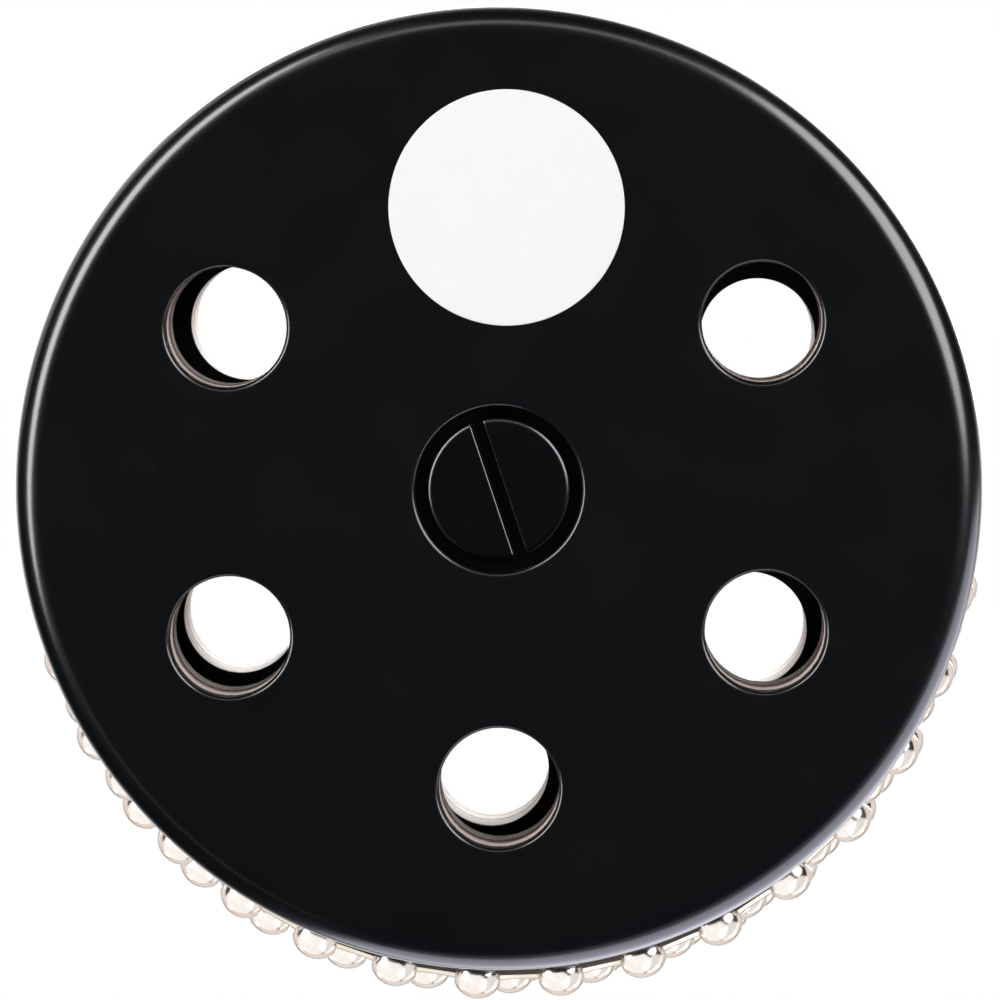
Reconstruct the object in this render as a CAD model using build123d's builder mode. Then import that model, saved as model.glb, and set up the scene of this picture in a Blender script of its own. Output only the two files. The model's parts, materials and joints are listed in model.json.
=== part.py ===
from build123d import *
import os
from math import cos, pi, radians, sin

# A hand cabasa: two plywood discs clamp a steel drum, loops of ball chain hang round the drum,
# and one bolt draws the whole head against a turned handle.
# Lengths are in mm and angles in degrees. The axis lies along Y: the front disc faces -Y, the
# handle points along +Y and Z is up. The origin is the middle of the handle's grip.

# Discs and their sound holes. One of the six hole places, the top one, is left whole for the label. Each
# disc's drilling stands a little off its middle, by right and up, and each disc is turned a little about
# the bolt, clockwise as seen from the front.
disc_diameter = 108.0
disc_thickness = 18.0
disc_edge_round = 3.0
hole_diameter = 13.5
hole_circle_radius = 34.5
hole_places = 6
hole_count = 5
rim_edge_round = 0.5
front_drilling = (-0.3, 1.1)
rear_drilling = (-0.5, -0.85)
front_disc_turn = -0.6
rear_disc_turn = 1.5

# Steel drum, let into a shallow groove in each disc
shell_diameter = 86.2
shell_wall = 0.5
groove_depth = 1.2
groove_clearance = 0.1

# Ball chain. The slack is what a loop has over the length that would just go round the drum.
ball_diameter = 5.8
ball_wall = 0.5
chain_pitch = 9.49
chain_slack = 28.0
loop_count = 6
loop_gap = 0.3
hang_clearance = 0.3
hang_angle = 4.0
hang_spread = 14.0
first_ball_angle = 2.0
link_rod_diameter = 1.1
link_hole_clearance = 0.2
link_head_clearance = 0.05
link_head_gap = 0.3

# Coin-slot bolt, sunk in the front disc, and the tube round it
bolt_diameter = 8.0
bolt_hole_clearance = 0.2
bolt_tip_chamfer = 0.8
head_diameter = 16.2
head_thickness = 3.5
head_edge_round = 0.7
head_recess = 0.9
head_pocket_clearance = 1.2
slot_width = 1.5
slot_depth = 1.7
slot_angle = 18.4
spacer_wall = 3.0

# Handle and the threaded insert in its front end
grip_diameter = 28.0
grip_length = 80.0
tail_round = 10.0
collar_diameter = 38.0
collar_width = 5.0
collar_edge_round = 1.5
cove_length = 15.0
insert_diameter = 12.0
insert_length = 20.0
insert_clearance = 0.02
thread_clearance = 0.05
bolt_tip_gap = 4.0

# Round label on the front face
label_diameter = 26.3
label_thickness = 0.15
label_right = 0.9
label_up = 31.4

# Places along the axis
drum_gap = loop_count * (ball_diameter + loop_gap) + loop_gap
collar_face = -grip_length / 2 - cove_length - collar_width
rear_inner_face = collar_face - disc_thickness
front_inner_face = rear_inner_face - drum_gap
front_face = front_inner_face - disc_thickness
head_pocket_depth = head_recess + head_thickness
tail_fillet = min(tail_round, 0.9 * grip_diameter / 2)
tail_face = grip_length / 2 + tail_fillet

# One loop of chain
loop_bearing_radius = (shell_diameter + ball_diameter) / 2 + hang_clearance
ball_count = round((2 * pi * loop_bearing_radius + chain_slack) / chain_pitch)
ball_step = 360 / ball_count
loop_radius = chain_pitch / 2 / sin(radians(ball_step / 2))
loop_hang = loop_radius - loop_bearing_radius

os.makedirs("parts", exist_ok=True)


# A plane square to the axis, seen from the front: its x is X and its y is Z
def across(y):
    return Plane.XZ.offset(-y)


def save(piece, name):
    piece.part.label = name
    export_step(piece.part, f"parts/{name}.step")


# A disc with its sound holes, bolt hole and drum groove. Outward is -1 for the front disc and 1 for
# the rear one, and a pocket depth of 0 leaves out the pocket for the bolt's head.
def drum_disc(inner_face, outward, drilling, turn, pocket_depth):
    outer_face = inner_face + outward * disc_thickness
    hole_step = 360 / hole_places
    shell_radius = shell_diameter / 2
    with BuildPart() as disc:
        with BuildSketch(across(inner_face)):
            Circle(disc_diameter / 2)
        extrude(amount=-outward * disc_thickness)
        fillet(disc.edges(), disc_edge_round)

        with BuildSketch(across(outer_face)):
            turned = Location((0, 0, 0), -turn)
            with Locations(turned * Location(drilling)):
                with PolarLocations(
                    hole_circle_radius, hole_count, 90 + hole_step, hole_count * hole_step
                ):
                    Circle(hole_diameter / 2)
        extrude(amount=outward * disc_thickness, mode=Mode.SUBTRACT)
        if pocket_depth:
            with BuildSketch(across(outer_face)):
                Circle(head_diameter / 2 + head_pocket_clearance)
            extrude(amount=outward * pocket_depth, mode=Mode.SUBTRACT)
        outer_rims = disc.edges().group_by(Axis.Y)[0 if outward < 0 else -1]
        fillet(outer_rims.filter_by(lambda e: e.radius < disc_diameter / 4), rim_edge_round)

        with BuildSketch(across(outer_face)):
            Circle(bolt_diameter / 2 + bolt_hole_clearance)
        extrude(amount=outward * disc_thickness, mode=Mode.SUBTRACT)

        with BuildSketch(across(inner_face)):
            Circle(shell_radius + groove_clearance)
            Circle(shell_radius - shell_wall - groove_clearance, mode=Mode.SUBTRACT)
        extrude(amount=-outward * groove_depth, mode=Mode.SUBTRACT)
    return disc


save(drum_disc(front_inner_face, -1, front_drilling, front_disc_turn, head_pocket_depth), "front_disc")
save(drum_disc(rear_inner_face, 1, rear_drilling, rear_disc_turn, 0), "rear_disc")

# Label
with BuildPart() as label:
    with BuildSketch(across(front_face)):
        with Locations((label_right, label_up)):
            Circle(label_diameter / 2)
    extrude(amount=label_thickness)
save(label, "label")

# Drum, from the floor of one groove to the floor of the other
with BuildPart() as cylinder_shell:
    with BuildSketch(across(front_inner_face - groove_depth)):
        Circle(shell_diameter / 2)
        Circle(shell_diameter / 2 - shell_wall, mode=Mode.SUBTRACT)
    extrude(amount=-drum_gap - 2 * groove_depth)
save(cylinder_shell, "cylinder_shell")

# Tube that takes the bolt's pull from one disc to the other
with BuildPart() as spacer_tube:
    with BuildSketch(across(front_inner_face)):
        Circle(bolt_diameter / 2 + bolt_hole_clearance + spacer_wall)
        Circle(bolt_diameter / 2 + bolt_hole_clearance, mode=Mode.SUBTRACT)
    extrude(amount=-drum_gap)
save(spacer_tube, "spacer_tube")

# Bolt: head, shank down to the end of the insert, and the coin slot right across the head
with BuildPart() as tie_bolt:
    head_face = front_face + head_recess
    head_seat = front_face + head_pocket_depth
    with BuildSketch(across(head_face)):
        Circle(head_diameter / 2)
    extrude(amount=-head_thickness)
    fillet(tie_bolt.edges().group_by(Axis.Y)[0], head_edge_round)
    with BuildSketch(across(head_seat)):
        Circle(bolt_diameter / 2)
    extrude(amount=head_seat - collar_face - insert_length)
    chamfer(tie_bolt.edges().group_by(Axis.Y)[-1], bolt_tip_chamfer)
    with BuildSketch(across(head_face)):
        Rectangle(slot_width, 2 * head_diameter, rotation=slot_angle)
    extrude(amount=-slot_depth, mode=Mode.SUBTRACT)
save(tie_bolt, "tie_bolt")

# Handle: a collar against the rear disc, a cove, the straight grip and a rounded tail
with BuildPart() as handle:
    with BuildSketch(Plane.XY):
        with BuildLine():
            collar_back = (collar_diameter / 2, collar_face + collar_width)
            grip_front = (grip_diameter / 2, -grip_length / 2)
            Polyline((0, collar_face), (collar_diameter / 2, collar_face), collar_back)
            TangentArc(grip_front, collar_back, tangent=(0, -1))
            Polyline(grip_front, (grip_diameter / 2, tail_face), (0, tail_face), (0, collar_face))
        make_face()
    revolve(axis=Axis.Y)
    fillet(handle.edges().group_by(Axis.Y)[-1], tail_fillet)
    fillet(handle.edges().group_by(Axis.Y)[0], collar_edge_round)
    with BuildSketch(across(collar_face)):
        Circle(insert_diameter / 2 + insert_clearance)
    extrude(amount=-insert_length - bolt_tip_gap, mode=Mode.SUBTRACT)
save(handle, "handle")

with BuildPart() as handle_insert:
    with BuildSketch(across(collar_face)):
        Circle(insert_diameter / 2)
        Circle(bolt_diameter / 2 + thread_clearance, mode=Mode.SUBTRACT)
    extrude(amount=-insert_length)
save(handle_insert, "handle_insert")

# One hollow ball. X points out from the loop's middle and Y along the loop, so the two link holes
# lean in by half a ball step each.
ball_bore = ball_diameter / 2 - ball_wall
lean = radians(ball_step / 2)
with BuildPart() as ball:
    Sphere(ball_diameter / 2)
    Sphere(ball_bore, mode=Mode.SUBTRACT)
    for along in (1, -1):
        with BuildSketch(Plane(origin=(0, 0, 0), z_dir=(-sin(lean), along * cos(lean), 0))):
            Circle(link_rod_diameter / 2 + link_hole_clearance)
        extrude(amount=ball_diameter, mode=Mode.SUBTRACT)

# One link along Y: a rod with a round head inside each of two balls, where two heads fit side by side
head_radius = (ball_bore - link_head_clearance - link_head_gap / 2) / 2
head_centre = chain_pitch / 2 - (ball_bore - link_head_clearance - head_radius)
with BuildPart() as link:
    with BuildSketch(Plane.XZ):
        Circle(link_rod_diameter / 2)
    extrude(amount=head_centre, both=True)
    with Locations((0, head_centre, 0), (0, -head_centre, 0)):
        Sphere(head_radius)

# Every loop hangs from the top of the drum, each a little turned from the next, with the balls of one
# loop against the gaps of its neighbour
for loop in range(loop_count):
    hang = radians(hang_angle - hang_spread * sin(2 * loop))
    middle = front_inner_face + (loop + 0.5) * (ball_diameter + loop_gap) + loop_gap / 2
    centre = (loop_hang * sin(hang), middle, -loop_hang * cos(hang))
    loop_plane = Plane(origin=centre, x_dir=(1, 0, 0), z_dir=(0, -1, 0))
    start = first_ball_angle + (loop % 2) * ball_step / 2
    with BuildPart(loop_plane) as loop_balls:
        with PolarLocations(loop_radius, ball_count, start):
            add(ball.part)
    with BuildPart(loop_plane) as loop_links:
        with PolarLocations(loop_radius * cos(lean), ball_count, start + ball_step / 2):
            add(link.part)
    save(loop_balls, f"chain_{loop + 1}_balls")
    save(loop_links, f"chain_{loop + 1}_links")
    print(f"chain {loop + 1}: centre {centre[0]:.4f}, {centre[1]:.4f}, {centre[2]:.4f}")
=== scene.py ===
import bmesh
import bpy
import json
from math import cos, degrees, pi, radians, sin
from mathutils import Matrix, Vector


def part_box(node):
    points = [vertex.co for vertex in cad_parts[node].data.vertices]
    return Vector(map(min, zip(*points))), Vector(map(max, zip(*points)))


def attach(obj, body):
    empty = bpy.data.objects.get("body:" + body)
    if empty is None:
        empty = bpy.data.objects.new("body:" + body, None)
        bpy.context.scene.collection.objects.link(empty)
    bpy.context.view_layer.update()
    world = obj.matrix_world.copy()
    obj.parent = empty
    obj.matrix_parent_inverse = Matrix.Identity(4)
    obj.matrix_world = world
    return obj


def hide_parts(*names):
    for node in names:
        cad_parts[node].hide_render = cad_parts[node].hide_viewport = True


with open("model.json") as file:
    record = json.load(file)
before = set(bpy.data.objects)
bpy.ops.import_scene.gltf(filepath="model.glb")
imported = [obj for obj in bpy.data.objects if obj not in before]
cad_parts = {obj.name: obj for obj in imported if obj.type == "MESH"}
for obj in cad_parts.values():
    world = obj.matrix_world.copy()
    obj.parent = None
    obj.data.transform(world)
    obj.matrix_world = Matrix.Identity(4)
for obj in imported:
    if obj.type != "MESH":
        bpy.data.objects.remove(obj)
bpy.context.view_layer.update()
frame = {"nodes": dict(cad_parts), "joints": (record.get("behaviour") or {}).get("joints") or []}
scene = bpy.context.scene
mm = 0.001               # sizes below are in mm, and Blender works in metres
sameSpot = 1e-6          # metres within which two places count as one
noiseSpan = (0.3, 0.7)   # nearly all of a noise texture's values lie in here


# The low and high corners of a CAD piece, in mm
def cornersOf(node):
    return [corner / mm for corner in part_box(node)]


frontFace, frontInner = (corner.y for corner in cornersOf("front_disc"))
rearInner, rearFace = (corner.y for corner in cornersOf("rear_disc"))
discThickness = frontInner - frontFace
print("frame loaded,", len(frame["nodes"]), "nodes")


def toLinear(hexColour):
    parts = [int(hexColour[i:i + 2], 16) / 255 for i in (1, 3, 5)]
    return [c / 12.92 if c <= 0.04045 else ((c + 0.055) / 1.055) ** 2.4 for c in parts] + [1.0]


# Adds a node, sets what is named, and links each input that is given another node's socket
def addNode(tree, kind, inputs=None, **settings):
    node = tree.nodes.new(kind)
    for name, value in settings.items():
        setattr(node, name, value)
    for name, value in (inputs or {}).items():
        if isinstance(value, bpy.types.NodeSocket):
            tree.links.new(value, node.inputs[name])
        else:
            node.inputs[name].default_value = value
    return node


def newMaterial(name, **shaderValues):
    material = bpy.data.materials.new(name)
    material.use_nodes = True
    tree = material.node_tree
    shader = tree.nodes["Principled BSDF"]
    for socket, value in shaderValues.items():
        shader.inputs[socket.replace("_", " ")].default_value = value
    place = addNode(tree, "ShaderNodeTexCoord").outputs["Object"]
    return material, tree, shader, place


# A repeat of so many mm as a texture scale
def perSize(size):
    return 1 / (size * mm)


# Lets a pattern set a surface's colour, gloss and relief, whichever are given, with the height in mm
def followPattern(tree, shader, pattern, colours=None, roughness=None, height=None, strength=1.0,
                  normals=("Normal",)):
    if colours:
        colour = addNode(tree, "ShaderNodeMix", {
            0: pattern, 6: toLinear(colours[0]), 7: toLinear(colours[1])}, data_type="RGBA")
        tree.links.new(colour.outputs[2], shader.inputs["Base Color"])
    if roughness:
        rough = addNode(tree, "ShaderNodeMapRange", {
            "Value": pattern, "From Min": noiseSpan[0], "From Max": noiseSpan[1],
            "To Min": roughness[0], "To Max": roughness[1]})
        tree.links.new(rough.outputs["Result"], shader.inputs["Roughness"])
    if height:
        bump = addNode(tree, "ShaderNodeBump", {
            "Height": pattern, "Distance": height * mm, "Strength": strength})
        for socket in normals:
            tree.links.new(bump.outputs[0], shader.inputs[socket])


# Sprayed black lacquer under a clear satin coat: near black with crisp lamp lines that have a soft foot,
# a faint orange peel in the highlights and a few specks of dust that the spray caught
lacquerFinish = {
    "black": "#07090c", "dust": "#1f2124", "ior": 1.5, "roughness": (0.24, 0.28), "cloudSize": 9.0,
    "coatRoughness": 0.20, "peelSize": 1.5, "peelHeight": 0.006,
    "dustSpacing": 2.6, "dustShare": 0.25, "speckEdge": (0.02, 0.06),      # the edge in shares of the spacing
}


def makeLacquer(name):
    finish = lacquerFinish
    material, tree, shader, place = newMaterial(
        name, IOR=finish["ior"], Coat_Weight=1.0, Coat_IOR=finish["ior"],
        Coat_Roughness=finish["coatRoughness"])
    cell = addNode(tree, "ShaderNodeTexVoronoi", {"Vector": place, "Scale": perSize(finish["dustSpacing"])})
    speck = addNode(tree, "ShaderNodeMapRange", {
        "Value": cell.outputs["Distance"], "From Min": finish["speckEdge"][0],
        "From Max": finish["speckEdge"][1], "To Min": 1.0, "To Max": 0.0})
    pick = addNode(tree, "ShaderNodeSeparateColor", {"Color": cell.outputs["Color"]})
    kept = addNode(tree, "ShaderNodeMath", {0: pick.outputs["Red"], 1: finish["dustShare"]},
                   operation="LESS_THAN")
    dust = addNode(tree, "ShaderNodeMath", {0: speck.outputs["Result"], 1: kept.outputs[0]},
                   operation="MULTIPLY")
    followPattern(tree, shader, dust.outputs[0], colours=(finish["black"], finish["dust"]))
    cloud = addNode(tree, "ShaderNodeTexNoise", {"Vector": place, "Scale": perSize(finish["cloudSize"])})
    followPattern(tree, shader, cloud.outputs[0], roughness=finish["roughness"])
    peel = addNode(tree, "ShaderNodeTexNoise", {"Vector": place, "Scale": perSize(finish["peelSize"])})
    followPattern(tree, shader, peel.outputs[0], height=finish["peelHeight"],
                  normals=("Normal", "Coat Normal"))
    return material


# Drilled birch plywood: pale and dark plies in turn with torn fibres, black where the spray reached in.
# Each ply starts at a share of the disc's thickness, from the face nearer the camera.
plyEdge = {
    "roughness": 0.7, "ior": 1.5, "ragSize": 0.7, "rag": 0.09,
    "fibreSize": 0.35, "fibreStretch": 6.0, "fibreDepth": 0.04, "fibreShade": 0.80,
    "front": [(0.00, "#060708"), (0.19, "#eedcd5"), (0.45, "#7a625c"), (0.68, "#fbf3ef"), (0.97, "#060708")],
    "rear": [(0.00, "#060708"), (0.05, "#f4eeea"), (0.42, "#cdc2bc"), (0.56, "#f7f2ef"), (0.76, "#dccfc6"),
             (0.88, "#f7f2ef")],
}


def makePlywoodEdge(name, firstFace, plies):
    material, tree, shader, place = newMaterial(name, Roughness=plyEdge["roughness"], IOR=plyEdge["ior"])
    perThickness = perSize(discThickness)
    through = addNode(tree, "ShaderNodeMapping", {     # 0 at the face nearer the camera, 1 at the other
        "Vector": place, "Scale": (1, perThickness, 1),
        "Location": (0, -firstFace * mm * perThickness, 0)})
    depth = addNode(tree, "ShaderNodeSeparateXYZ", {0: through.outputs[0]}).outputs["Y"]
    rag = addNode(tree, "ShaderNodeTexNoise", {"Vector": place, "Scale": perSize(plyEdge["ragSize"])})
    shift = addNode(tree, "ShaderNodeMath", {0: rag.outputs[0], 1: plyEdge["rag"], 2: -plyEdge["rag"] / 2},
                    operation="MULTIPLY_ADD")
    level = addNode(tree, "ShaderNodeMath", {0: depth, 1: shift.outputs[0]}, operation="ADD")
    ramp = addNode(tree, "ShaderNodeValToRGB", {0: level.outputs[0]})
    ramp.color_ramp.interpolation = "CONSTANT"
    for start, _ in plies[2:]:                         # a new ramp has two stops already
        ramp.color_ramp.elements.new(start)
    for stop, (start, colour) in zip(ramp.color_ramp.elements, plies):
        stop.position = start
        stop.color = toLinear(colour)
    along = addNode(tree, "ShaderNodeMapping", {       # fibres lie across the hole, so they run flat
        "Vector": place, "Scale": (1, plyEdge["fibreStretch"], 1)})
    fibre = addNode(tree, "ShaderNodeTexNoise", {
        "Vector": along.outputs[0], "Scale": perSize(plyEdge["fibreSize"] * plyEdge["fibreStretch"])})
    shade = addNode(tree, "ShaderNodeMapRange", {
        "Value": fibre.outputs[0], "From Min": noiseSpan[0], "From Max": noiseSpan[1],
        "To Min": plyEdge["fibreShade"], "To Max": 1.0})
    shaded = addNode(tree, "ShaderNodeVectorMath", {0: ramp.outputs[0], "Scale": shade.outputs["Result"]},
                     operation="SCALE")
    tree.links.new(shaded.outputs[0], shader.inputs["Base Color"])
    followPattern(tree, shader, fibre.outputs[0], height=plyEdge["fibreDepth"])
    return material


# Bare or plated metal: a mirror softened by handling, with cloudy smears in the gloss and hair scratches
metalFinishes = {
    # bright nickel over steel balls: warm silver, close to a mirror
    "nickelPlate": {"colour": "#dcd6d1", "tint": "#d2cac4", "roughness": (0.14, 0.22), "smearSize": 3.0,
                    "scratchSize": (0.25, 0.25, 0.25), "scratchDepth": 0.0008},
    # drawn brass wire under thin nickel: pale gold, a little dull
    "brassWire": {"colour": "#d6cfc6", "tint": "#cabda9", "roughness": (0.18, 0.30), "smearSize": 1.2,
                  "scratchSize": (0.12, 0.12, 0.12), "scratchDepth": 0.002},
    # embossed stainless sheet: cool grey, brushed round the drum
    "stainlessSheet": {"colour": "#c6c8ca", "tint": "#aeb0b3", "roughness": (0.20, 0.34), "smearSize": 7.0,
                       "scratchSize": (3.0, 0.12, 3.0), "scratchDepth": 0.004},
    # black oxide on turned steel: dark but still metal, so only the edges catch the lamps
    "blackOxide": {"colour": "#56585c", "tint": "#505256", "roughness": (0.23, 0.25), "smearSize": 2.5,
                   "scratchSize": (0.5, 0.5, 0.5), "scratchDepth": 0.002},
    # bright zinc on tube: bluish grey with a soft bloom
    "zincPlate": {"colour": "#bcc1c7", "tint": "#a4aab2", "roughness": (0.26, 0.40), "smearSize": 4.0,
                  "scratchSize": (0.3, 2.0, 0.3), "scratchDepth": 0.003},
    # turned brass: yellow with fine rings from the lathe
    "turnedBrass": {"colour": "#d2ae62", "tint": "#b48c42", "roughness": (0.20, 0.32), "smearSize": 3.0,
                    "scratchSize": (2.0, 0.2, 2.0), "scratchDepth": 0.004},
}
smearDetail = 4.0


def makeMetal(name):
    finish = metalFinishes[name]
    material, tree, shader, place = newMaterial(name, Metallic=1.0)
    smear = addNode(tree, "ShaderNodeTexNoise", {
        "Vector": place, "Scale": perSize(finish["smearSize"]), "Detail": smearDetail})
    followPattern(tree, shader, smear.outputs[0], colours=(finish["colour"], finish["tint"]),
                  roughness=finish["roughness"])
    sizes = addNode(tree, "ShaderNodeMapping", {
        "Vector": place, "Scale": [perSize(size) for size in finish["scratchSize"]]})
    scratch = addNode(tree, "ShaderNodeTexNoise", {"Vector": sizes.outputs[0], "Scale": 1.0})
    followPattern(tree, shader, scratch.outputs[0], height=finish["scratchDepth"])
    return material


# Painted shade inside the drum: a dead matt black with no gloss at all, standing in for the shade in there,
# so the holes stay dark
insideShadeFinish = {"black": "#050506", "grey": "#0b0b0c", "roughness": 0.95, "specular": 0.0, "mottleSize": 1.5}


def makeInsideShade(name):
    finish = insideShadeFinish
    material, tree, shader, place = newMaterial(
        name, Roughness=finish["roughness"], Specular_IOR_Level=finish["specular"])
    mottle = addNode(tree, "ShaderNodeTexNoise", {"Vector": place, "Scale": perSize(finish["mottleSize"])})
    followPattern(tree, shader, mottle.outputs[0], colours=(finish["black"], finish["grey"]))
    return material


# White vinyl film: a smooth matt white with a slight gloss and a shallow ripple from the face below
vinylFinish = {"white": "#f4f4f4", "shade": "#f1f1f1", "roughness": 0.42, "ior": 1.53,
               "rippleSize": 4.0, "rippleHeight": 0.006}


def makeVinyl(name):
    finish = vinylFinish
    material, tree, shader, place = newMaterial(name, Roughness=finish["roughness"], IOR=finish["ior"])
    ripple = addNode(tree, "ShaderNodeTexNoise", {"Vector": place, "Scale": perSize(finish["rippleSize"])})
    followPattern(tree, shader, ripple.outputs[0], colours=(finish["white"], finish["shade"]),
                  height=finish["rippleHeight"])
    return material


# Lacquered hardwood: the same black spray, sunk a little into pores that run along the handle
woodFinish = {"black": "#070809", "worn": "#0f1012", "ior": 1.5, "roughness": (0.24, 0.34),
              "poreSize": (0.7, 14.0, 0.7), "poreDetail": 3.0, "poreDepth": 0.03, "poreStrength": 0.6}


def makeLacquerWood(name):
    finish = woodFinish
    material, tree, shader, place = newMaterial(name, IOR=finish["ior"])
    along = addNode(tree, "ShaderNodeMapping", {
        "Vector": place, "Scale": [perSize(size) for size in finish["poreSize"]]})
    pore = addNode(tree, "ShaderNodeTexNoise", {
        "Vector": along.outputs[0], "Scale": 1.0, "Detail": finish["poreDetail"]})
    followPattern(tree, shader, pore.outputs[0], colours=(finish["black"], finish["worn"]),
                  roughness=finish["roughness"], height=finish["poreDepth"], strength=finish["poreStrength"])
    return material


satinLacquer = makeLacquer("satinBlackLacquer")
frontPly = makePlywoodEdge("birchPlyEdgeFront", frontFace, plyEdge["front"])
rearPly = makePlywoodEdge("birchPlyEdgeRear", rearInner, plyEdge["rear"])
lacquerWood = makeLacquerWood("blackLacquerWood")
# painted shade: the drum's inside is given a dead black where the real drum is only unlit
paintedShadeInside = makeInsideShade("paintedShadeInsideDrum")
whiteVinyl = makeVinyl("whiteVinyl")
metals = {name: makeMetal(name) for name in metalFinishes}
print("materials made,", len(bpy.data.materials))


# Points of an arc in a section, whose pairs are (radius, place along the axis)
def arcPoints(centre, radius, start, end, steps):
    turns = [radians(start + (end - start) * i / steps) for i in range(steps + 1)]
    return [(centre[0] + radius * cos(t), centre[1] + radius * sin(t)) for t in turns]


# Spins a section round a line along Y that passes through x, z
def spinSection(bm, section, steps, x=0.0, z=0.0, closed=False):
    ring = [bm.verts.new(((x + r) * mm, y * mm, z * mm)) for r, y in section]
    pairs = list(zip(ring, ring[1:])) + ([(ring[-1], ring[0])] if closed else [])
    edges = [bm.edges.new(pair) for pair in pairs]
    bmesh.ops.spin(bm, geom=ring + edges, cent=(x * mm, 0, z * mm), axis=(0, 1, 0), dvec=(0, 0, 0),
                   angle=2 * pi, steps=steps, use_merge=True, use_duplicate=False)


def closeUp(bm):
    bmesh.ops.remove_doubles(bm, verts=bm.verts, dist=sameSpot)
    bmesh.ops.recalc_face_normals(bm, faces=bm.faces)


def isAt(value, place):
    return abs(value - place) < sameSpot


def finishPiece(bm, name, materials, body, node, sharpAngle):
    mesh = bpy.data.meshes.new(name)
    bm.to_mesh(mesh)
    bm.free()
    for material in materials:
        mesh.materials.append(material)
    mesh.shade_smooth()
    mesh.set_sharp_from_angle(angle=radians(sharpAngle))
    piece = bpy.data.objects.new(name, mesh)
    scene.collection.objects.link(piece)
    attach(piece, body)
    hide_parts(node)
    print(name, len(mesh.polygons), "faces")
    return piece


# Discs: rounded rim, five sound holes with bare ply inside, a groove for the drum, and in the front one
# a pocket for the bolt's head. The flat rings round every opening keep the faces' shading flat. Each
# disc's drilling stands off its middle, by right and up, and each disc is turned a little.
disc = {
    "radius": 54.0, "edgeRound": 3.0, "edgeSteps": 16, "rimSteps": 256, "flatRing": 0.12, "sharpAngle": 30,
    "holeRadius": 6.75, "holeCircle": 34.5, "holeAngles": (150, 210, 270, 330, 30), "holeSteps": 80,
    "lipRound": 0.5, "lipSteps": 5, "grooveOuter": 43.2, "grooveInner": 42.5, "grooveDepth": 1.2,
    "boltHole": 4.2, "pocketRadius": 9.3, "pocketDepth": 4.4,
    "frontDrilling": (-0.3, 1.1), "frontTurn": -0.6, "rearDrilling": (-0.5, -0.85), "rearTurn": 1.5,
}


def makeDisc(name, node, outer, inner, drilling, turn, plyMaterial, pocket):
    outward = 1 if outer > inner else -1
    into = -outward                                    # from the outer face into the wood
    flat, lipRound = disc["flatRing"], disc["lipRound"]
    bm = bmesh.new()

    rimIn = disc["radius"] - disc["edgeRound"]
    outerArc = arcPoints((rimIn, 0), disc["edgeRound"], 90, 0, disc["edgeSteps"])
    outerRim = [(r, outer + into * (disc["edgeRound"] - a)) for r, a in outerArc]
    innerRim = [(r, inner - into * (disc["edgeRound"] - a)) for r, a in reversed(outerArc)]
    grooveFloor = inner - into * disc["grooveDepth"]
    groove = [(disc["grooveOuter"], inner), (disc["grooveOuter"], grooveFloor),
              (disc["grooveInner"], grooveFloor), (disc["grooveInner"], inner),
              (disc["grooveInner"] - flat, inner)]
    spinSection(bm, [(rimIn - flat, outer)] + outerRim + innerRim + groove, disc["rimSteps"])

    def openingMouth(radius):
        lip = arcPoints((radius + lipRound, lipRound), lipRound, 270, 180, disc["lipSteps"])
        return [(radius + lipRound + flat, outer)] + [(r, outer + into * a) for r, a in lip]

    for angle in disc["holeAngles"]:
        x = disc["holeCircle"] * cos(radians(angle)) + drilling[0]
        z = disc["holeCircle"] * sin(radians(angle)) + drilling[1]
        centre = Matrix.Rotation(radians(turn), 3, "Y") @ Vector((x, 0, z))
        wall = [(disc["holeRadius"], inner), (disc["holeRadius"] + flat, inner)]
        spinSection(bm, openingMouth(disc["holeRadius"]) + wall, disc["holeSteps"], centre.x, centre.z)
        for face in bm.faces:
            aside = face.calc_center_median() - centre * mm
            if Vector((aside.x, aside.z)).length < disc["holeRadius"] * mm + sameSpot:
                face.material_index = 1
    boltWall = [(disc["boltHole"], inner), (disc["boltHole"] + flat, inner)]
    if pocket:
        floor = outer + into * disc["pocketDepth"]
        boltMouth = openingMouth(disc["pocketRadius"])
        boltMouth += [(disc["pocketRadius"], floor), (disc["boltHole"], floor)]
    else:
        boltMouth = [(disc["boltHole"] + flat, outer), (disc["boltHole"], outer)]
    spinSection(bm, boltMouth + boltWall, disc["holeSteps"])

    for level, facing in ((outer, outward), (inner, -outward)):
        border = [e for e in bm.edges if e.is_boundary and all(isAt(v.co.y, level * mm) for v in e.verts)]
        bmesh.ops.triangle_fill(bm, use_beauty=True, use_dissolve=False, edges=border, normal=(0, facing, 0))
    closeUp(bm)
    return finishPiece(bm, name, [satinLacquer, plyMaterial], "frame", node,
                       disc["sharpAngle"])


frontDisc = makeDisc("frontDisc", "front_disc", frontFace, frontInner, disc["frontDrilling"],
                     disc["frontTurn"], frontPly, pocket=True)
makeDisc("rearDisc", "rear_disc", rearFace, rearInner, disc["rearDrilling"], disc["rearTurn"], rearPly,
         pocket=False)

# Label: a thin film with a softened edge, left blank
label = {"edgeSoft": 0.05, "steps": 128, "sharpAngle": 30}
low, high = cornersOf("label")
labelRadius = (high.x - low.x) / 2
bm = bmesh.new()
spinSection(bm, [(0, high.y), (labelRadius, high.y), (labelRadius, low.y + label["edgeSoft"]),
                 (labelRadius - label["edgeSoft"], low.y), (0, low.y)],
            label["steps"], (low.x + high.x) / 2, (low.z + high.z) / 2)
closeUp(bm)
finishPiece(bm, "blankLabel", [whiteVinyl], "frame", "label", label["sharpAngle"])
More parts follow.
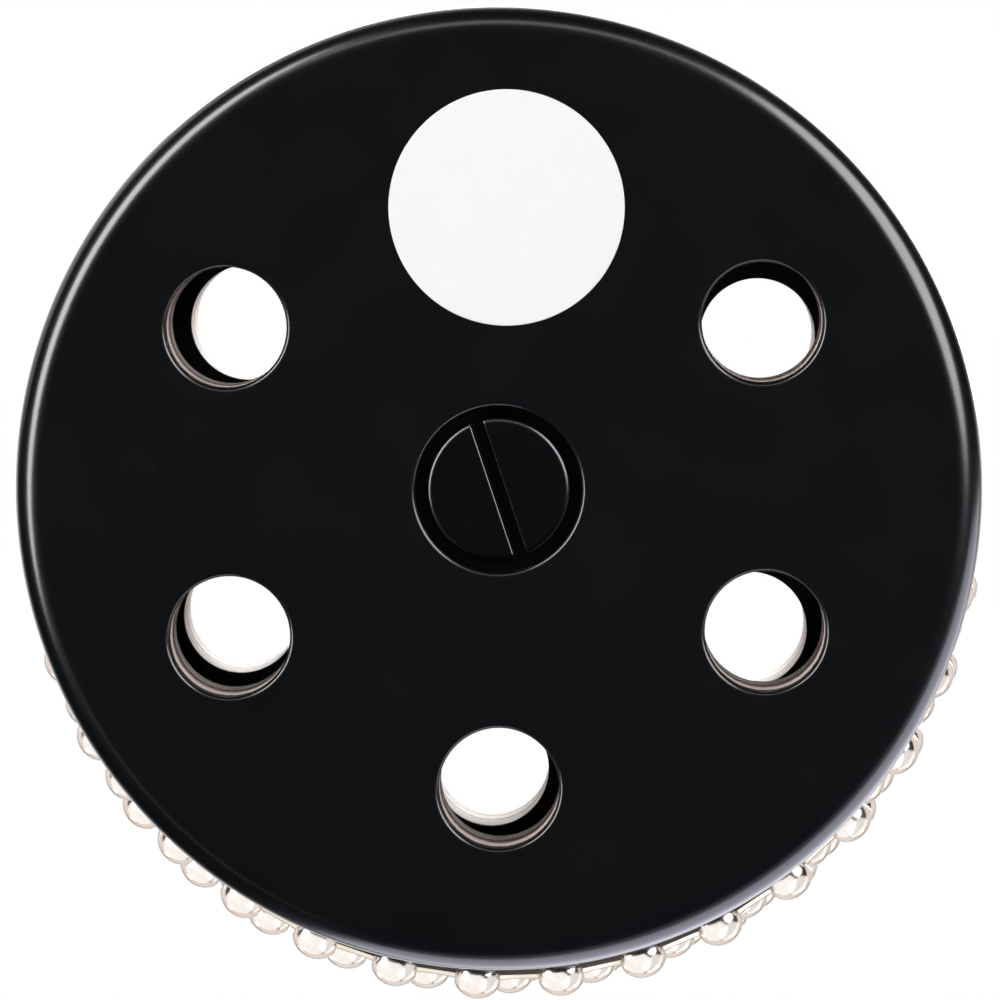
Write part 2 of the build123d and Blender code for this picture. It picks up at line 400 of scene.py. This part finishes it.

# Drum: a tube of sheet, embossed all over with staggered raised squares, and painted dead black inside as
# painted shade
drum = {"radius": 42.9, "wall": 0.3, "rows": 15, "columns": 108, "border": 0.55, "raise": 0.2,
        "sharpAngle": 8}
bm = bmesh.new()
first, last = frontInner, rearInner
ends = [corner.y for corner in cornersOf("cylinder_shell")]
rowPlaces = [first + (last - first) * i / drum["rows"] for i in range(drum["rows"] + 1)]
bore = drum["radius"] - drum["wall"]
drumSection = [(drum["radius"], y) for y in [ends[0], *rowPlaces, ends[1]]]
spinSection(bm, drumSection + [(bore, ends[1]), (bore, ends[0])], drum["columns"], closed=True)
closeUp(bm)
raised = []
for face in bm.faces:
    middle = face.calc_center_median() / mm
    spoke = Vector((middle.x, middle.z))
    # faces inside the tube take the painted shade
    if spoke.length < drum["radius"] - drum["wall"] / 2:
        face.material_index = 1
    elif first < middle.y < last:
        row = int((middle.y - first) / (last - first) * drum["rows"])
        column = round(spoke.angle_signed(Vector((1, 0))) / (2 * pi) * drum["columns"] - 0.5)
        if (row + column) % 2 == 0:
            raised.append(face)
bmesh.ops.inset_individual(bm, faces=raised, thickness=drum["border"] * mm, depth=drum["raise"] * mm,
                           use_even_offset=True)
finishPiece(bm, "embossedDrum", [metals["stainlessSheet"], paintedShadeInside], "frame",
            "cylinder_shell", drum["sharpAngle"])

# Bolt: a cheese head with a coin slot right across, a plain shank and a threaded end. The slot is cut
# upright, and then the whole bolt is turned to its lean.
bolt = {
    "headRadius": 8.1, "headRecess": 0.9, "headThickness": 3.5, "headRound": 0.7, "roundSteps": 8,
    "radius": 4.0, "flatRing": 0.1, "steps": 96, "sharpAngle": 15,
    "slotWidth": 1.5, "slotDepth": 1.7, "slotLean": 18.4, "slotBreak": 0.10, "breakSteps": 2,
    "threadLead": 2.0, "threadPitch": 1.25, "threadDepth": 0.65, "threadLength": 22.0, "tipChamfer": 0.8,
}
headFace = frontFace + bolt["headRecess"]
headSeat = headFace + bolt["headThickness"]
threadStart = rearFace - bolt["threadLead"]            # still inside the rear disc
tip = threadStart + bolt["threadLength"]
shoulder = tip - bolt["tipChamfer"]
headIn = bolt["headRadius"] - bolt["headRound"]
bm = bmesh.new()
boltSection = [(0, headFace), (headIn - bolt["flatRing"], headFace)]
boltSection += [(r, headFace + bolt["headRound"] - a)
                for r, a in arcPoints((headIn, 0), bolt["headRound"], 90, 0, bolt["roundSteps"])]
boltSection += [(bolt["headRadius"], headSeat), (bolt["radius"], headSeat)]
y = threadStart
while y < shoulder - bolt["threadPitch"]:
    boltSection += [(bolt["radius"], y), (bolt["radius"] - bolt["threadDepth"], y + bolt["threadPitch"] / 2)]
    y += bolt["threadPitch"]
boltSection += [(bolt["radius"], y), (bolt["radius"], shoulder), (bolt["radius"] - bolt["tipChamfer"], tip),
                (0, tip)]
spinSection(bm, boltSection, bolt["steps"])
closeUp(bm)

slotFloor = (headFace + bolt["slotDepth"]) * mm
slotHalf = bolt["slotWidth"] / 2 * mm
cutSlack = sameSpot / 10
for point, normal in (((slotHalf, 0, 0), (1, 0, 0)), ((-slotHalf, 0, 0), (1, 0, 0)),
                      ((0, slotFloor, 0), (0, 1, 0))):
    headGeometry = [g for kind in (bm.verts, bm.edges, bm.faces) for g in kind
                    if all(v.co.y < headSeat * mm + sameSpot for v in getattr(g, "verts", [g]))]
    bmesh.ops.bisect_plane(bm, geom=headGeometry, plane_co=point, plane_no=normal, dist=cutSlack)
inSlot = [f for f in bm.faces if f.calc_center_median().y < slotFloor - cutSlack
          and abs(f.calc_center_median().x) < slotHalf]
bmesh.ops.delete(bm, geom=inSlot, context="FACES")
border = [e for e in bm.edges if e.is_boundary]
floorEdges = [e for e in border if all(isAt(v.co.y, slotFloor) for v in e.verts)]
for wallPlace in (-slotHalf, slotHalf):
    wallEdges = [e for e in border if all(isAt(v.co.x, wallPlace) for v in e.verts)]
    feet = [v for v in bm.verts if isAt(v.co.x, wallPlace) and isAt(v.co.y, slotFloor)]
    foot = bm.edges.new(sorted(feet, key=lambda v: v.co.z)[::len(feet) - 1])
    bmesh.ops.contextual_create(bm, geom=wallEdges + [foot])
    floorEdges.append(foot)
bmesh.ops.contextual_create(bm, geom=floorEdges)
bmesh.ops.recalc_face_normals(bm, faces=bm.faces)
slotLips = [e for e in bm.edges
            if all(isAt(abs(v.co.x), slotHalf) and v.co.y < slotFloor - sameSpot for v in e.verts)
            and isAt(e.verts[0].co.x, e.verts[1].co.x)]
bmesh.ops.bevel(bm, geom=slotLips, offset=bolt["slotBreak"] * mm, affect="EDGES",
                segments=bolt["breakSteps"], profile=0.5, material=-1)
bmesh.ops.rotate(bm, verts=bm.verts, cent=(0, 0, 0),
                 matrix=Matrix.Rotation(-radians(bolt["slotLean"]), 3, "Y"))
finishPiece(bm, "slottedBolt", [metals["blackOxide"]], "frame", "tie_bolt",
            bolt["sharpAngle"])

# Handle: turned collar, cove and grip with a rounded tail, and a fine turned line near each end of the grip.
# A line's section is in shares of its half width and its depth.
handle = {
    "collarFace": -60.0, "collarRadius": 19.0, "collarRound": 1.5, "collarSteps": 8,
    "collarBack": -55.0, "backRound": 0.4,             # takes the sharpness off the collar's back edge
    "coveCentre": (39.0, -40.0), "coveRadius": 25.0, "coveAngles": (216.0, 180.0), "coveSteps": 16,
    "gripRadius": 14.0, "lines": (-36.0, 36.0), "lineWidth": 1.2, "lineDepth": 0.45,
    "lineSection": ((-1, 0), (-1 / 3, 0.8), (0, 1), (1 / 3, 0.8), (1, 0)),
    "tailStart": 40.0, "tailRound": 10.0, "tailSteps": 14,
    "boreRadius": 6.02, "boreEnd": -36.0, "steps": 128, "sharpAngle": 35,
}
bm = bmesh.new()
collarIn = handle["collarRadius"] - handle["collarRound"]
handleSection = [(0, handle["boreEnd"]), (handle["boreRadius"], handle["boreEnd"]),
                 (handle["boreRadius"], handle["collarFace"])]
handleSection += [(r, handle["collarFace"] + handle["collarRound"] - a)
                  for r, a in arcPoints((collarIn, 0), handle["collarRound"], 90, 0, handle["collarSteps"])]
handleSection += [(handle["collarRadius"], handle["collarBack"] - handle["backRound"])]
handleSection += arcPoints(handle["coveCentre"], handle["coveRadius"], *handle["coveAngles"],
                           handle["coveSteps"])
for place in handle["lines"]:
    handleSection += [(handle["gripRadius"] - handle["lineDepth"] * down,
                       place + handle["lineWidth"] / 2 * across) for across, down in handle["lineSection"]]
handleSection += arcPoints((handle["gripRadius"] - handle["tailRound"], handle["tailStart"]),
                           handle["tailRound"], 0, 90, handle["tailSteps"])
handleSection += [(0, handle["tailStart"] + handle["tailRound"])]
spinSection(bm, handleSection, handle["steps"])
closeUp(bm)
finishPiece(bm, "turnedHandle", [lacquerWood], "frame", "handle", handle["sharpAngle"])

# Tube and insert keep their CAD shape and take a plated and a turned finish
for node, metal in (("spacer_tube", "zincPlate"), ("handle_insert", "turnedBrass")):
    mesh = frame["nodes"][node].data
    mesh.materials.clear()
    mesh.materials.append(metals[metal])

# Ball chain: pressed balls with a lip turned in round each link hole, and wire links between them.
# The subdivision draws a ball's faces in. The cage is made larger by drawnIn for a part of that, and the
# finished ball is about 5.3 mm across.
chain = {
    "ballCount": 34, "pitch": 9.49, "firstBall": 2.0,
    "ballRadius": 2.9, "drawnIn": 1.019, "ballSides": 10, "ballBands": 5, "ballSharp": 180,
    "lipRadius": 0.95, "lipInside": (0.72, 2.30), "lipRoot": 1.5,
    "rodRadius": 0.55, "rodFlare": 0.70, "rodHalf": 2.7, "rodStraight": 1.55, "rodSides": 8, "rodSharp": 40,
}
ballStep = 360 / chain["ballCount"]
loopRadius = chain["pitch"] / 2 / sin(radians(ballStep / 2))


# Stands what is spun on the Y axis along the loop's run, at an angle round the loop's centre, and
# repeats it once for every ball
def placeInLoop(bm, centre, radius, angle):
    toRun = Matrix.Translation((radius * mm, 0, 0)) @ Matrix.Rotation(radians(90), 4, "X")
    place = Matrix.Translation(centre) @ Matrix.Rotation(-radians(angle), 4, "Y") @ toRun
    bmesh.ops.transform(bm, verts=bm.verts, matrix=place)
    copies = chain["ballCount"] - 1
    bmesh.ops.spin(bm, geom=bm.verts[:] + bm.edges[:] + bm.faces[:], cent=centre, axis=(0, 1, 0),
                   dvec=(0, 0, 0), angle=radians(ballStep) * copies, steps=copies,
                   use_merge=False, use_duplicate=True)


lipAngle = 90 - degrees(chain["lipRadius"] / chain["ballRadius"])
ballOutside = [(r * chain["drawnIn"], y * chain["drawnIn"])
               for r, y in arcPoints((0, 0), chain["ballRadius"], -lipAngle, lipAngle, chain["ballBands"])]
lipIn, lipDepth = chain["lipInside"]
ballSection = [(0, -chain["lipRoot"]), (lipIn, -lipDepth), *ballOutside, (lipIn, lipDepth),
               (0, chain["lipRoot"])]
rodEnd = [(chain["rodRadius"], chain["rodStraight"]), (chain["rodFlare"], chain["rodHalf"]),
          (0, chain["rodHalf"])]
rodSection = [(r, -y) for r, y in reversed(rodEnd)] + rodEnd
chainPieces = bpy.data.collections.new("chain")        # what the chain's own lamps light
for index, joint in enumerate(frame["joints"]):
    centre = Vector(joint["pos_m"])
    start = chain["firstBall"] + (index % 2) * ballStep / 2
    bm = bmesh.new()
    spinSection(bm, ballSection, chain["ballSides"])
    closeUp(bm)
    placeInLoop(bm, centre, loopRadius, start)
    balls = finishPiece(bm, f"chainBalls{index + 1}", [metals["nickelPlate"]], joint["child"],
                        f"chain_{index + 1}_balls", chain["ballSharp"])
    rounding = balls.modifiers.new("rounding", "SUBSURF")
    rounding.levels = rounding.render_levels = 1
    chainPieces.objects.link(balls)
    bm = bmesh.new()
    spinSection(bm, rodSection, chain["rodSides"])
    closeUp(bm)
    placeInLoop(bm, centre, loopRadius * cos(radians(ballStep / 2)), start + ballStep / 2)
    links = finishPiece(bm, f"chainLinks{index + 1}", [metals["brassWire"]], joint["child"],
                        f"chain_{index + 1}_links", chain["rodSharp"])
    chainPieces.objects.link(links)


# 1 for what the camera sees, straight or through something clear, and 0 for light on its way round
def seenByCamera(tree):
    path = addNode(tree, "ShaderNodeLightPath")
    return addNode(tree, "ShaderNodeMath", {
        0: path.outputs["Is Camera Ray"], 1: path.outputs["Is Transmission Ray"]},
        operation="MAXIMUM").outputs[0]


# Floor: pale and matt, some way under the lowest balls. What the camera sees of it fades into the white,
# and glossy surfaces mirror the studio instead of it. Sizes are in metres.
floorShape = {
    "middle": (0, 0.1, -0.25), "radius": 0.32, "sides": 96, "fadeStart": 0.16, "fadeEnd": 0.31,
    "nearWhite": 0.35, "colour": "#f3f3f2", "roughness": 0.9,
}
bm = bmesh.new()
bmesh.ops.create_circle(bm, cap_ends=True, segments=floorShape["sides"], radius=floorShape["radius"],
                        matrix=Matrix.Translation(floorShape["middle"]))
mesh = bpy.data.meshes.new("floor")
bm.to_mesh(mesh)
bm.free()
floor = bpy.data.objects.new("floor", mesh)
scene.collection.objects.link(floor)
floor.visible_glossy = False
material, tree, shader, place = newMaterial("paleFloor", Roughness=floorShape["roughness"])
shader.inputs["Base Color"].default_value = toLinear(floorShape["colour"])
distance = addNode(tree, "ShaderNodeVectorMath", {0: place, 1: floorShape["middle"]}, operation="DISTANCE")
fade = addNode(tree, "ShaderNodeMapRange", {
    "Value": distance.outputs["Value"], "From Min": floorShape["fadeStart"],
    "From Max": floorShape["fadeEnd"], "To Min": floorShape["nearWhite"], "To Max": 1.0},
    interpolation_type="SMOOTHSTEP")
share = addNode(tree, "ShaderNodeMath", {0: fade.outputs["Result"], 1: seenByCamera(tree)},
                operation="MULTIPLY")
white = addNode(tree, "ShaderNodeEmission", {"Color": toLinear("#ffffff"), "Strength": 1.0})
mixed = addNode(tree, "ShaderNodeMixShader", {0: share.outputs[0], 1: shader.outputs[0], 2: white.outputs[0]})
tree.links.new(mixed.outputs[0], tree.nodes["Material Output"].inputs["Surface"])
mesh.materials.append(material)

# Studio: white to the camera, but what lights the object and shows in it is white behind the object and
# dark on the camera's side. How far a direction points to the back runs from -1 to 1.
studio = {"front": 0.012, "back": 1.0, "darkUpTo": 0.5, "whiteFrom": 0.95}
world = bpy.data.worlds.new("studio")
scene.world = world
world.use_nodes = True
tree = world.node_tree
direction = addNode(tree, "ShaderNodeTexCoord").outputs["Generated"]
behind = addNode(tree, "ShaderNodeSeparateXYZ", {0: direction}).outputs["Y"]
cove = addNode(tree, "ShaderNodeMapRange", {
    "Value": behind, "From Min": studio["darkUpTo"], "From Max": studio["whiteFrom"],
    "To Min": studio["front"], "To Max": studio["back"]}, interpolation_type="SMOOTHSTEP")
shown = addNode(tree, "ShaderNodeMix", {0: seenByCamera(tree), 2: cove.outputs["Result"], 3: 1.0})
background = tree.nodes["Background"]
background.inputs["Color"].default_value = toLinear("#ffffff")
tree.links.new(shown.outputs[0], background.inputs["Strength"])
print("floor and studio made")

# Softboxes, placed by what the rims show: the angle round the view from the right, and the angle off the
# camera's line as seen from the front face. Far and size are in metres. Glow is how bright the panel is,
# white being 1. A panel with "only" is flagged off from every other piece.
frontRim = bpy.data.collections.new("frontRim")
frontRim.objects.link(frontDisc)
chainSide = {"shape": "RECTANGLE", "off": 116, "far": 0.45, "size": (0.95, 0.26), "glow": 1.1,
             "tint": "#fff3ec", "only": chainPieces}
softboxes = {
    "upperRight": {"shape": "ELLIPSE", "around": 30, "off": 51, "far": 1.2, "size": (0.95, 0.90),
                   "glow": 5.5},
    "left": {"shape": "ELLIPSE", "around": 155, "off": 55, "far": 1.2, "size": (1.70, 0.50),
             "glow": 7.8},
    "leftLow": {"shape": "ELLIPSE", "around": 222, "off": 42, "far": 1.2, "size": (0.90, 0.08),
                "glow": 0.45},
    "top": {"shape": "ELLIPSE", "around": 90, "off": 42, "far": 1.2, "size": (1.00, 0.30),
            "glow": 1.3},
    "topBack": {"shape": "ELLIPSE", "around": 130, "off": 122, "far": 1.0, "size": (1.70, 0.50),
                "glow": 0.6},
    "backLight": {"shape": "ELLIPSE", "around": 70, "off": 150, "far": 1.2, "size": (1.30, 1.30),
                  "glow": 6.0},
    "lowerRight": {"shape": "RECTANGLE", "around": 303, "off": 102, "far": 0.16, "size": (0.40, 0.17),
                   "glow": 2.4, "tint": "#eeedff", "only": frontRim},
    "lowerRightSoft": {"shape": "RECTANGLE", "around": 303, "off": 68, "far": 0.22, "size": (0.40, 0.08),
                       "glow": 0.4, "tint": "#eeedff", "only": frontRim},
    "chainFill": {"shape": "RECTANGLE", "around": 235, "off": 45, "far": 0.5, "size": (1.60, 1.50),
                  "glow": 1.4, "only": chainPieces},
    "chainLowRight": {"shape": "RECTANGLE", "around": 318, "off": 75, "far": 0.4, "size": (0.55, 0.50),
                      "glow": 1.1, "only": chainPieces},
    "chainLeft": {**chainSide, "around": 180},
    "chainBelow": {**chainSide, "around": 270},
    "chainRight": {**chainSide, "around": 0},
}
filled = {"ELLIPSE": pi / 4, "RECTANGLE": 1.0}         # share of width times height that the panel fills
target = Vector((0, frontFace * mm, 0))
for name, box in softboxes.items():
    around, off = radians(box["around"]), radians(box["off"])
    outward = Vector((sin(off) * cos(around), -cos(off), sin(off) * sin(around)))
    sideways = Vector((-sin(around), 0, cos(around)))
    facing = Matrix((sideways, outward.cross(sideways), outward)).transposed().to_4x4()
    lamp = bpy.data.lights.new(name, "AREA")
    lamp.shape = box["shape"]
    lamp.size, lamp.size_y = box["size"]
    lamp.energy = box["glow"] * pi * box["size"][0] * box["size"][1] * filled[box["shape"]]
    if "tint" in box:
        lamp.color = toLinear(box["tint"])[:3]
    panel = bpy.data.objects.new(name, lamp)
    panel.matrix_world = Matrix.Translation(target + outward * box["far"]) @ facing
    panel.visible_camera = False
    scene.collection.objects.link(panel)
    if "only" in box:
        panel.light_linking.receiver_collection = box["only"]
print("lamps placed,", len(softboxes))

# Camera: a long lens near the axis, a little right of it and looking slightly down
view = {"lens": 323.5, "sensor": 36.0, "distance": 1000.0, "place": (10.9, 44.7), "aim": (0.17, -1.17)}
camera = bpy.data.cameras.new("camera")
camera.lens = view["lens"]
camera.sensor_width = view["sensor"]
cameraObject = bpy.data.objects.new("camera", camera)
stand = Vector((view["place"][0], frontFace - view["distance"], view["place"][1])) * mm
aim = Vector((view["aim"][0], frontFace, view["aim"][1])) * mm
cameraObject.location = stand
cameraObject.rotation_euler = (aim - stand).to_track_quat("-Z", "Y").to_euler()
scene.collection.objects.link(cameraObject)
scene.camera = cameraObject
scene.view_settings.view_transform = "Standard"
